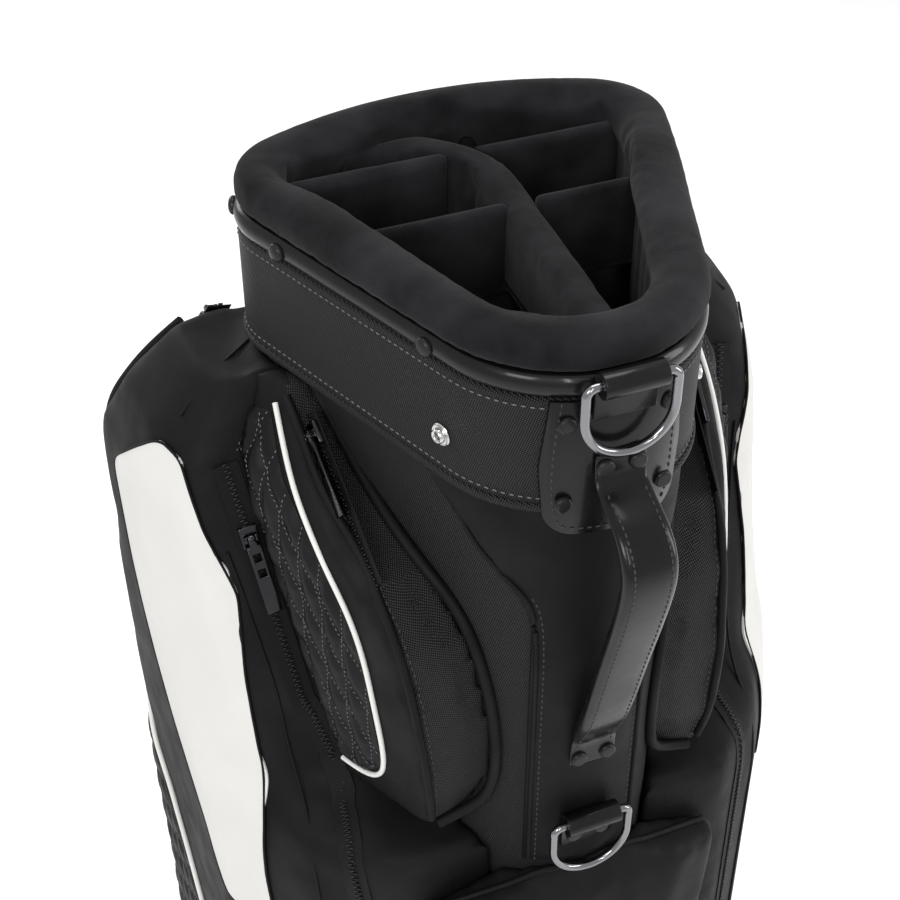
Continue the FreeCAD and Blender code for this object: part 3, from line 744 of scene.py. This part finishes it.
# ---- cuff: band, trim and collar ----------------------------------------------------------
def make_band():
    """Twill band with a turned hem and two stitched edges."""
    band = copy_of("cuff_band", "cuff_band_shown")
    modify(band, "BEVEL", width=0.0028, segments=4, limit_method="ANGLE", angle_limit=math.radians(50))
    smooth(band, 35)
    trees = tree_of(band)
    girdle_uv(band, girdle(trees, HEM_Z + 0.03))
    wear(band, TWILL, "twill", "cuff_band", map_uv=False)
    rows = even_rows(girdle(trees, HEM_Z + 0.006, BAND_THREAD_LIFT), RING_STEP)
    low_rows = [(p - Vector((0, 0, HEM_DROP)), n) for p, n in rows]
    hem = sweep("cuff_hem", low_rows, round_section(HEM_R, 10, 0.6), True)
    smooth(hem, 60)
    girdle_uv(hem, rows)
    wear(hem, TWILL, "twill", map_uv=False)
    places = []
    for z in (HEM_Z + 0.0085, BAND_TOP - 0.0055):
        rows = even_rows(girdle(trees, z, BAND_THREAD_LIFT), STITCH_PITCH)
        places += [frame_at(rows, i) for i in range(len(rows))]
    threads = repeat("cuff_band_stitches", bead(STITCH_L, STITCH_R), places)
    wear(threads, PALE_THREAD, "twill")
    return trees


def make_trim():
    """Rolled glossy welt between the band and the padded collar."""
    trees = tree_of(nodes["cuff_trim"])
    middle = (TRIM_LOW + TRIM_TOP) / 2
    rows = even_rows(girdle(trees, middle, -WELT_SINK), RING_STEP)
    welt = sweep("cuff_trim_welt", rows, round_section(WELT_R, 14, 0.66), closed=True)
    smooth(welt, 70)
    wear(welt, GLOSS, "gloss_leather", "cuff_trim")


def make_collar():
    """Velour ring over foam round the mouth."""
    pad = stuffed("cuff_pad", "cuff_pad_velour", 0.0045, 5, 6, 0.0035, ("cuff_trim", "cuff_ring"))
    modify(pad, "SUBSURF", levels=1, render_levels=1)
    smooth(pad, 80)
    wear(pad, VELOUR, "velour", "cuff_pad")


def cut_below(z):
    bpy.ops.mesh.bisect(plane_co=(0, 0, z), plane_no=(0, 0, 1), use_fill=True, clear_inner=True)


def cut_above(z):
    bpy.ops.mesh.bisect(plane_co=(0, 0, z), plane_no=(0, 0, 1), use_fill=True, clear_outer=True)


DIVIDER_PAD_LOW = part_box("centre_divider")[1].z - 0.055


def make_divider(node, voxel, cap, others):
    """A padded top edge sewn over a thin wall."""
    pad = copy_of(node, node + "_pad")
    in_edit(pad, lambda: cut_below(DIVIDER_PAD_LOW + 0.001))
    modify(pad, "REMESH", mode="VOXEL", voxel_size=voxel)
    modify(pad, "SMOOTH", factor=0.5, iterations=4)
    swell(pad, 5, cap, [nodes[n] for n in others])
    modify(pad, "SUBSURF", levels=1, render_levels=1)
    smooth(pad, 80)
    wall = copy_of(node, node + "_wall")
    in_edit(wall, lambda: cut_above(DIVIDER_PAD_LOW + 0.002))
    smooth(wall, 40)
    wear(wall, VELOUR, "velour")
    wear(pad, VELOUR, "velour", node)


def make_dividers():
    make_divider("centre_divider", 0.0032, 0.002, ("cuff_pad",))
    for place in ("rear", "front"):
        for side in SIDES:
            make_divider(f"cross_divider_{place}_{side}", 0.0024, 0.0012, ("cuff_pad", "centre_divider"))


# ---- spine: panel, patch, loops, rings and handle --------------------------------------------
def seam_line(points):
    """A line and its mirror image."""
    left = spline([mm(*p) for p in points])
    return [left, [Vector((-p.x, p.y, p.z)) for p in left]]


def make_spine(cover):
    panel = dressed("spine_panel", LEATHER, "matt_leather", 0.0008)
    trees = tree_of(panel)
    edge = [(-74, -60, 800), (-66, -90, 783), (-59, -105, 761), (-41, -128, 742), (-36, -134, 715),
            (-36, -134, 640), (-36, -134, 522)]
    both = tree_of(panel, cover)
    for i, line in enumerate(seam_line(edge)):
        rows = lay(even(line, CORD_STEP), both, 0.0004)
        welt = sweep(f"spine_edge_{SIDES[i]}", rows, round_section(0.0015))
        smooth(welt, 60)
        wear(welt, LEATHER, "matt_leather")
    inner = [(x + 5.0, y, z) for x, y, z in edge[1:]]
    threads = stitch_rows("spine_stitches", seam_line(inner), trees)
    wear(threads, DARK_THREAD, "matt_leather")


def make_patch():
    """Leather patch on the band with a stitched outline."""
    patch = dressed("handle_patch", GLOSS, "gloss_leather", 0.0007)
    trees = tree_of(patch)
    half = [(-31, -140, 872), (-34, -140, 850), (-35, -140, 830), (-34, -140, 808), (-30, -140, 795),
            (-20, -145, 793.5), (0, -146, 793.5)]
    threads = stitch_rows("patch_stitches", seam_line(half), trees)
    wear(threads, DARK_THREAD, "gloss_leather")


def make_rings():
    """Leather loops and the D-rings that hang in them."""
    for name in ("upper", "lower"):
        dressed(f"{name}_ring_loop", GLOSS, "gloss_leather", 0.0009, 3)
        ring = copy_of(f"{name}_d_ring", f"{name}_d_ring_shown")
        smooth(ring, 60)
        wear(ring, STEEL, "dark_chrome", f"{name}_d_ring", body=f"{name}_d_ring")


def make_handle():
    """Padded strap that bows off the spine between two riveted tabs."""
    route = [(-145.7, 842.5), (-145.7, 833), (-146.4, 824), (-158, 818), (-174, 810), (-184, 796),
             (-184, 780), (-176, 748), (-165, 710), (-153, 664), (-144, 640), (-140, 627), (-139.6, 616),
             (-139.5, 606.5)]
    line = even(spline([mm(0, y, z) for y, z in route]), 0.003)
    top, low = line[0].z, line[-1].z
    rings, faces = [], []
    corners = 20
    for i, p in enumerate(line):
        t = (line[min(i + 1, len(line) - 1)] - line[max(i - 1, 0)]).normalized()
        out = Vector((0, t.z, -t.y))
        share = min(1.0, max(0.0, min(top - p.z - 0.014, p.z - low - 0.016) / 0.030))
        ease = share * share * (3 - 2 * share)
        half_w = TAB_HALF_W + GRIP_MORE_W * ease
        half_t = TAB_HALF_T + GRIP_MORE_T * ease
        for k in range(corners):
            turn = 2 * math.pi * k / corners
            c, s = math.cos(turn), math.sin(turn)
            x = half_w * math.copysign(abs(c) ** 0.45, c)
            rise = half_t * math.copysign(abs(s) ** 0.8, s)
            rings.append(p + Vector((x, 0, 0)) + out * rise)
    for i in range(len(line) - 1):
        faces += hoop(i * corners, (i + 1) * corners, corners)
    last = (len(line) - 1) * corners
    faces += [tuple(range(corners))[::-1], tuple(range(last, last + corners))]
    strap = new_object("carry_handle_strap", rings, faces)
    in_edit(strap, face_out)
    modify(strap, "SUBSURF", levels=1, render_levels=1)
    smooth(strap, 60)
    wear(strap, GLOSS, "gloss_leather", "carry_handle")
    trees = tree_of(strap)
    runs = []
    for x in (-0.0112, 0.0112):
        runs.append([p + Vector((x, -0.012, 0.004)) for p in line[4:-4]])
    threads = stitch_rows("handle_stitches", runs, trees)
    wear(threads, DARK_THREAD, "gloss_leather")


# ---- rivets, studs and snaps ------------------------------------------------------------------
def turned(name, profile, place, out):
    """A turned head: (radius, height) profile about an axis that points out of place."""
    turn = Vector((0, 0, 1)).rotation_difference(out).to_matrix().to_4x4()
    turn.translation = place
    verts = [turn @ Vector((0, 0, profile[0][1]))]
    for r, h in profile[1:-1]:
        for i in range(TURNED_SIDES):
            q = 2 * math.pi * i / TURNED_SIDES
            verts.append(turn @ Vector((r * math.cos(q), r * math.sin(q), h)))
    verts.append(turn @ Vector((0, 0, profile[-1][1])))
    faces = [(0, 1 + (i + 1) % TURNED_SIDES, 1 + i) for i in range(TURNED_SIDES)]
    for k in range(len(profile) - 3):
        faces += hoop(1 + k * TURNED_SIDES, 1 + (k + 1) * TURNED_SIDES, TURNED_SIDES)
    last = len(verts) - 1
    a = last - TURNED_SIDES
    faces += [(a + i, a + (i + 1) % TURNED_SIDES, last) for i in range(TURNED_SIDES)]
    obj = new_object(name, verts, faces)
    in_edit(obj, face_out)
    smooth(obj, 50)
    return obj


def islands(node):
    """Centre, lowest and highest corner of each separate solid in a node."""
    obj = copy_of(node, "loose")
    in_edit(obj, lambda: bpy.ops.mesh.separate(type="LOOSE"))
    found = []
    for part in [o for o in bpy.context.selected_objects]:
        co = [v.co.copy() for v in part.data.vertices]
        low = Vector([min(c[i] for c in co) for i in range(3)])
        high = Vector([max(c[i] for c in co) for i in range(3)])
        found.append(((low + high) / 2, low, high))
        bpy.data.objects.remove(part)
    return found


def make_fasteners(band_trees):
    side_out = Vector((-1, -0.37, 0)).normalized()
    dressed("rivets", ENAMEL, "black_metal", 0.0004)
    socket = [(0, 0), (0.0062, 0), (0.0065, 0.0008), (0.0059, 0.0015), (0.0049, 0.0010), (0.0043, 0.0011),
              (0.0041, 0.0034), (0.0034, 0.0041), (0.0026, 0.0040), (0.0022, 0.0034), (0.0021, 0.0008),
              (0, 0.0006)]
    snaps, studs = [], []
    for centre, _, _ in islands("hood_snaps"):
        out = Vector((math.copysign(side_out.x, centre.x), side_out.y, 0))
        snaps.append(turned("snap", socket, centre - out * 0.002, out))
    cap = [(0, 0), (0.0054, 0), (0.0055, 0.0012), (0.0050, 0.0022), (0.0036, 0.0031), (0.0018, 0.0035),
           (0, 0.0036)]
    for centre, _, _ in islands("hood_studs"):
        _, normal, _, _ = nearest(band_trees, centre)
        normal.z = 0
        normal.normalize()
        studs.append(turned("stud", cap, centre - normal * 0.0018, normal))
    for group, node, material, slot in ((snaps, "hood_snaps", BRIGHT, "chrome"),
                                        (studs, "hood_studs", ENAMEL, "black_metal")):
        bpy.ops.object.select_all(action="DESELECT")
        for piece in group:
            piece.select_set(True)
        bpy.context.view_layer.objects.active = group[0]
        bpy.ops.object.join()
        group[0].name = node + "_shown"
        wear(group[0], material, slot, node)


# ---- zips -----------------------------------------------------------------------------------------
TOOTH = tooth(0.0011, 0.0030, 0.0013)


def zip_axes(name):
    """Pin, run and facing of a zip from its two joints."""
    run = Vector(joint[name + "_slide"]["axis"])
    hinge = joint[name + "_pull"]
    return Vector(hinge["pos_m"]), run, Vector(hinge["axis"]).cross(run)


def make_zip(stem, side, surface, beyond=()):
    """Teeth and tape through the slider, with any curved stretch beyond the straight one."""
    end = "_" + side if side else ""
    name = stem + end
    chain, slider, pull = (stem + part + end for part in ("_chain", "_slider", "_pull"))
    pin, run, face = zip_axes(name)
    seat = pin - face * 0.006
    reach = [(v.co - seat).dot(run) for v in nodes[chain].data.vertices]
    a, b = seat + run * min(reach), seat + run * max(reach)
    straight = even([a, b], ZIP_PITCH)
    flip = -1 if side == "right" else 1
    rows = [(p, face) for p in straight]
    if beyond:
        line = even(spline([b] + [Vector((flip * p.x, p.y, p.z)) for p in beyond]), ZIP_PITCH)
        rows += lay(line[1:], surface)
    teeth = []
    for i in range(len(rows)):
        p, n = rows[i]
        m = frame_at(rows, i, flip=bool(i % 2))
        m.translation = p + n * 0.0014 - m.to_3x3().col[1] * 0.0007
        teeth.append(m)
    chain_piece = repeat(name + "_teeth", TOOTH, teeth)
    wear(chain_piece, TEETH, "zip_chain", chain)
    tape = sweep(name + "_tape", [(p + n * 0.0004, n) for p, n in rows[::3]], flat_section(TAPE_W, 0.0008))
    smooth(tape, 40)
    wear(tape, TAPE, "zip_chain")
    for part in (slider, pull):
        dressed(part, GUNMETAL, "dark_chrome", 0.0005, 2, body=part)


# ---- panels ------------------------------------------------------------------------------------------
def cornered(points):
    """Closed (y, z) outline in metres with each (y, z, radius) corner rounded, from millimetres."""
    out = []
    for i, (y, z, r) in enumerate(points):
        p = Vector((y, z))
        back = (Vector(points[i - 1][:2]) - p).normalized()
        on = (Vector(points[(i + 1) % len(points)][:2]) - p).normalized()
        reach = r / math.tan(back.angle(on) / 2)
        a, b = p + back * reach, p + on * reach
        for k in range(CORNER_STEPS + 1):
            s = k / CORNER_STEPS
            out.append((a.lerp(p, s).lerp(p.lerp(b, s), s)) * 0.001)
    return out


def inside(outline, y, z):
    hit = False
    for (ay, az), (by, bz) in zip(outline, outline[1:] + outline[:1]):
        if (az > z) != (bz > z) and y < (by - ay) * (z - az) / (bz - az) + ay:
            hit = not hit
    return hit


def snap_to(outline, q):
    """Nearest point of a closed outline."""
    best = None
    for a, b in zip(outline, outline[1:] + outline[:1]):
        d = b - a
        s = max(0.0, min(1.0, (q - a).dot(d) / d.length_squared)) if d.length_squared else 0.0
        spot = a + d * s
        if best is None or (spot - q).length < (best - q).length:
            best = spot
    return best


def from_side(trees, y, z):
    """Point and normal of the left side's surface, looking along +X, or the nearest one off its edge."""
    start = Vector((-0.4, y, z))
    hits = [h for h in (t.ray_cast(start, Vector((1, 0, 0))) for t in trees) if h[0] is not None]
    if not hits:
        return nearest(trees, start)[:2]
    return min(hits, key=lambda h: h[3])[:2]


def panel(name, outline, trees, cell, lift, thick, relief=None):
    """A panel cut to a side-view outline and laid on the left side."""
    ys = [p.x for p in outline]
    zs = [p.y for p in outline]
    ny = round((max(ys) - min(ys)) / cell) + 3
    nz = round((max(zs) - min(zs)) / cell) + 3
    grid = {}
    faces = []
    for j in range(nz):
        for i in range(ny):
            grid[i, j] = Vector((min(ys) + (i - 1) * cell, min(zs) + (j - 1) * cell))
    uses = {}
    for (i, j), p in grid.items():
        if (i + 1, j + 1) not in grid:
            continue
        if not inside(outline, p.x + cell / 2, p.y + cell / 2):
            continue
        quad = ((i, j), (i + 1, j), (i + 1, j + 1), (i, j + 1))
        faces.append(quad)
        for key in quad:
            uses[key] = uses.get(key, 0) + 1
    index, verts = {}, []
    for key, count in uses.items():
        edge = snap_to(outline, grid[key])
        q = edge if count < 4 else grid[key]
        spot, normal = from_side(trees, q.x, q.y)
        rise = lift
        if relief:
            rise += relief(q.x, q.y) * min(1.0, (edge - q).length / RELIEF_MARGIN)
        index[key] = len(verts)
        verts.append(spot + normal * rise)
    obj = new_object(name, verts, [tuple(index[key] for key in quad) for quad in faces])
    in_edit(obj, face_out)
    if obj.data.polygons[0].normal.x > 0:
        obj.data.flip_normals()
    modify(obj, "SOLIDIFY", thickness=thick, offset=-1)
    smooth(obj, 50)
    return obj


def quilting(axis):
    """Relief and line families of a diamond quilt whose diamonds point along axis."""
    spin = math.radians(QUILT_LEAN)
    normals = []
    for q in (spin, -spin):
        along = Vector((axis[0] * math.cos(q) - axis[1] * math.sin(q),
                        axis[0] * math.sin(q) + axis[1] * math.cos(q)))
        normals.append(Vector((-along.y, along.x)).normalized())

    def relief(y, z):
        near = min(abs((Vector((y, z)).dot(n) / QUILT_STEP + 0.5) % 1 - 0.5) for n in normals)
        return QUILT_RISE * math.sin(math.pi * near) ** 0.7

    return relief, normals


def quilt_stitches(name, outline, trees, normals):
    """Thread along both families of quilting lines."""
    ys = [p.x for p in outline]
    zs = [p.y for p in outline]
    centre = Vector(((min(ys) + max(ys)) / 2, (min(zs) + max(zs)) / 2))
    reach = Vector((max(ys) - min(ys), max(zs) - min(zs))).length / 2
    places = []
    for n in normals:
        along = Vector((-n.y, n.x))
        first = math.ceil((centre.dot(n) - reach) / QUILT_STEP)
        last = math.floor((centre.dot(n) + reach) / QUILT_STEP)
        for k in range(first, last + 1):
            base = n * (k * QUILT_STEP) + along * centre.dot(along)
            count = int(2 * reach / QUILT_STITCH_PITCH)
            for i in range(count):
                q = base + along * (i * QUILT_STITCH_PITCH - reach)
                if not inside(outline, q.x, q.y):
                    continue
                p, normal = from_side(trees, q.x, q.y)
                ahead, _ = from_side(trees, q.x + along.x * 0.001, q.y + along.y * 0.001)
                lift = normal * QUILT_THREAD_LIFT
                places.append(frame_at([(p + lift, normal), (ahead + lift, normal)], 0))
    return repeat(name, bead(QUILT_STITCH_L, QUILT_STITCH_R), places)


def outline_piping(name, outline, trees, radius, lift):
    line = []
    for q in outline:
        line.append(from_side(trees, q.x, q.y)[0])
    rows = []
    for p in even(line, 0.003, closed=True):
        spot, normal, _, _ = nearest(trees, p)
        rows.append((spot + normal * lift, normal))
    rows = eased(rows, 4)
    obj = sweep(name, rows, round_section(radius), closed=True)
    smooth(obj, 60)
    return obj


# ---- pockets --------------------------------------------------------------------------------------------
BINDING = [(-121, 21, 793), (-121, -10, 770), (-114, -56, 749), (-102, -88, 704), (-99, -102, 678),
           (-96, -108, 650), (-91, -115, 593), (-90, -114, 563)]
GUSSET_EDGE = [(-108, 23, 796), (-105, 13, 779), (-97, -11, 755), (-89, -37, 741), (-77, -71, 726),
               (-66, -99, 712), (-60, -108, 687), (-55, -115, 657), (-51, -118, 620), (-51, -118, 595),
               (-55, -114, 565), (-68, -112, 553), (-84, -112, 553)]
WHITE_LINE = [(-132, 20, 793), (-128, -5, 757), (-122, -42, 725), (-111, -68, 693), (-108, -79, 652),
              (-106, -89, 600), (-107, -88, 582), (-113, -74, 570), (-122, -52, 571)]
QUILT_EDGE = [(23, 786, 2), (-4, 757, 22), (-40, 725, 22), (-66, 692, 22), (-77, 650, 22), (-86, 592, 9),
              (-68, 571, 7), (-43, 575, 4), (40, 780, 2)]
WHITE_PANEL = [(57, 757, 10), (108, 712, 14), (87, 648, 60), (58, 588, 60), (25, 535, 60), (-5, 488, 60),
               (-24, 430, 12), (-56, 446, 16), (-46, 520, 30), (-28, 567, 30), (-13, 622, 40), (1, 672, 40),
               (18, 718, 30), (38, 753, 8)]
LOW_QUILT = [(148, 508, 5), (84, 437, 40), (62, 388, 40), (44, 340, 40), (20, 170, 12), (150, 150, 12)]


def on_gusset(p):
    """Whether a point of the side pocket lies on the spine side of its bound edge."""
    rail = [mm(*q) for q in BINDING]
    at = min(range(len(rail) - 1), key=lambda i: abs((rail[i].z + rail[i + 1].z) / 2 - p.z))
    a, b = rail[at], rail[at + 1]
    s = (p.z - a.z) / (b.z - a.z)
    edge = a.lerp(b, max(0.0, min(1.0, s)))
    hub = Vector((edge.x + 0.015, edge.y + 0.05))
    to_edge, to_p = Vector((edge.x, edge.y)) - hub, Vector((p.x, p.y)) - hub
    return to_edge.x * to_p.y - to_edge.y * to_p.x > 0


def make_side_pocket(cover):
    """Side pocket: twill gusset, bound edge, leather face with its zip and a quilted panel."""
    pocket = stuffed("side_pocket_left", "side_pocket", 0.0035, 4, 4, 0.0025,
                     ("body_cover", "garment_pocket_left", "side_zip_chain_left", "side_zip_slider_left"))
    pocket.data.materials.append(LEATHER)
    paint(pocket, TWILL, on_gusset)
    in_edit(pocket, box_uv)
    trees = tree_of(pocket)
    both = tree_of(pocket, cover)
    pair(piping("binding", BINDING, trees, BINDING_R), LEATHER, "matt_leather", "side_binding")
    pair(piping("gusset_edge", GUSSET_EDGE, both, GUSSET_CORD_R), LEATHER, "matt_leather",
         "side_gusset_piping")
    pair(piping("white_line", WHITE_LINE, trees, WHITE_CORD_R), WHITE_PIPING, "white_leather",
         "side_white_piping")
    inset = [(x + 3.5, y - 5, z - 1) for x, y, z in BINDING[1:]]
    rows = stitch_rows("rows", [spline([mm(*p) for p in inset])], trees)
    pair(rows, DARK_THREAD, "matt_leather", "side_gusset_stitches")
    edge = cornered(QUILT_EDGE)
    relief, normals = quilting(Vector((80, 205)).normalized())
    quilt = panel("quilt", edge, trees, 0.0022, 0.0004, 0.0018, relief)
    threads = quilt_stitches("quilt_threads", edge, tree_of(quilt), normals)
    pair(threads, PALE_THREAD, "quilted_leather", "side_quilt_stitches")
    pair(quilt, QUILT, "quilted_leather", "side_quilt", replaced="quilted_panel")
    twin = mirror_of(pocket, "side_pocket_soft_right")
    pocket.name = "side_pocket_soft_left"
    for side, piece in zip(SIDES, (pocket, twin)):
        wear(piece, None, "twill", "side_pocket_" + side, map_uv=False)
    for side, piece in zip(SIDES, (pocket, twin)):
        make_zip("side_zip", side, tree_of(piece))


def make_garment_pocket():
    """Long garment pocket with its slanted zip, white panel and lower quilted panel."""
    pocket = stuffed("garment_pocket_left", "garment_pocket", 0.0065, 4, 4, 0.007,
                     ("body_cover", "side_pocket_left", "hip_pad", "ball_pocket", "front_pocket",
                      "garment_zip_chain_left", "garment_zip_slider_left", "top_zip_chain_left"), levels=1)
    trees = tree_of(pocket)
    white_edge = cornered(WHITE_PANEL)
    white = panel("white", white_edge, trees, 0.0035, 0.0014, 0.0016)
    border = outline_piping("white_border", white_edge, trees, 0.0009, 0.0011)
    pair(white, WHITE, "white_leather", "white_panel_shown", replaced="white_panel")
    pair(border, LEATHER, "matt_leather", "white_panel_border")
    low_edge = cornered(LOW_QUILT)
    relief, normals = quilting(Vector((0.45, 0.89)))
    quilt = panel("low_quilt", low_edge, trees, 0.0026, 0.0004, 0.0016, relief)
    threads = quilt_stitches("low_threads", low_edge, tree_of(quilt), normals)
    pair(threads, PALE_THREAD, "quilted_leather", "low_quilt_stitches")
    pair(quilt, QUILT, "quilted_leather", "low_quilt")
    pair(outline_piping("low_border", low_edge, trees, 0.0019, 0.0014), WHITE_PIPING, "white_leather",
         "low_quilt_piping")
    seams = {
        "back_seam": [(-170, -2, 704), (-158, -34, 620), (-152, -58, 552), (-152, -76, 520),
                      (-148, -84, 460), (-146, -90, 300), (-146, -90, 90)],
        "shoulder_seam": [(-125, 80, 800), (-150, 62, 790), (-172, 56, 768)],
        "front_seam": [(-158, 118, 794), (-186, 132, 765), (-204, 150, 715), (-209, 158, 600),
                       (-209, 158, 490), (-206, 158, 300), (-201, 158, 92)],
    }
    for stem, points in seams.items():
        radius = EDGE_CORD_R if stem == "front_seam" else SEAM_R
        cord = piping(stem, points, trees, radius, sink=0.4)
        pair(cord, LEATHER, "matt_leather", "garment_" + stem)
    twin = mirror_of(pocket, "garment_pocket_soft_right")
    pocket.name = "garment_pocket_soft_left"
    beyond = [mm(*p) for p in ((-134, -62, 580), (-134, -78, 545), (-130, -94, 515), (-127, -99, 470),
                               (-125, -103, 300), (-125, -103, 100))]
    for side, piece in zip(SIDES, (pocket, twin)):
        wear(piece, LEATHER, "matt_leather", "garment_pocket_" + side)
        make_zip("garment_zip", side, tree_of(piece), beyond)
        make_zip("top_zip", side, tree_of(piece))


def make_front_pockets():
    """Ball and front pockets: each a stuffed box with a piped face and its own zip."""
    for node in ("ball_pocket", "front_pocket"):
        name = node + "_soft"
        pocket = stuffed(node, name, 0.0065, 5, 4, 0.0035,
                         ("body_cover", "garment_pocket_left", "garment_pocket_right", "ball_zip_chain",
                          "ball_zip_slider", "front_zip_chain", "front_zip_slider"), levels=1)
        wear(pocket, LEATHER, "matt_leather", node)
        trees = tree_of(pocket)
        low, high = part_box(node)
        y = high.y * 1000 - 8
        edge = high.x * 1000 - 12
        z0, z1 = low.z * 1000 + 14, high.z * 1000 - 24
        half = [(0, y, z1), (edge - 20, y, z1), (edge, y, z1 - 24), (edge, y, z0 + 24), (edge - 20, y, z0),
                (0, y, z0)]
        for i, flip in enumerate((-1, 1)):
            cord = piping("rim", [(x * flip, py, z) for x, py, z in half], trees, RIM_CORD_R)
            cord.name = f"{name}_piping_{SIDES[i]}"
            wear(cord, LEATHER, "matt_leather")
        make_zip(node.replace("pocket", "zip"), "", trees)


def make_hip_pad():
    """Pad that rests against the hip, under the lower ring, with a piped outline."""
    pad = stuffed("hip_pad", "hip_pad_soft", 0.005, 4, 5, 0.005,
                  ("body_cover", "garment_pocket_left", "garment_pocket_right", "lower_ring_loop",
                   "spine_panel"), levels=1)
    wear(pad, LEATHER, "matt_leather", "hip_pad")
    trees = tree_of(pad)
    half = [(0, -140, 519), (-40, -136, 516), (-80, -128, 500), (-95, -124, 482), (-96, -124, 400),
            (-96, -124, 140), (-92, -124, 100), (-60, -134, 92), (0, -144, 91)]
    for side, line in zip(SIDES, seam_line(half)):
        rows = lay(even(line, CORD_STEP), trees, 0.0012)
        cord = sweep("hip_pad_piping_" + side, rows, round_section(0.0021))
        smooth(cord, 60)
        wear(cord, LEATHER, "matt_leather")


def main():
    make_base()
    cover = make_core()
    band_trees = make_band()
    make_trim()
    make_collar()
    make_dividers()
    make_spine(cover)
    make_patch()
    make_rings()
    make_handle()
    make_fasteners(band_trees)
    make_side_pocket(cover)
    make_garment_pocket()
    make_front_pockets()
    make_hip_pad()


main()
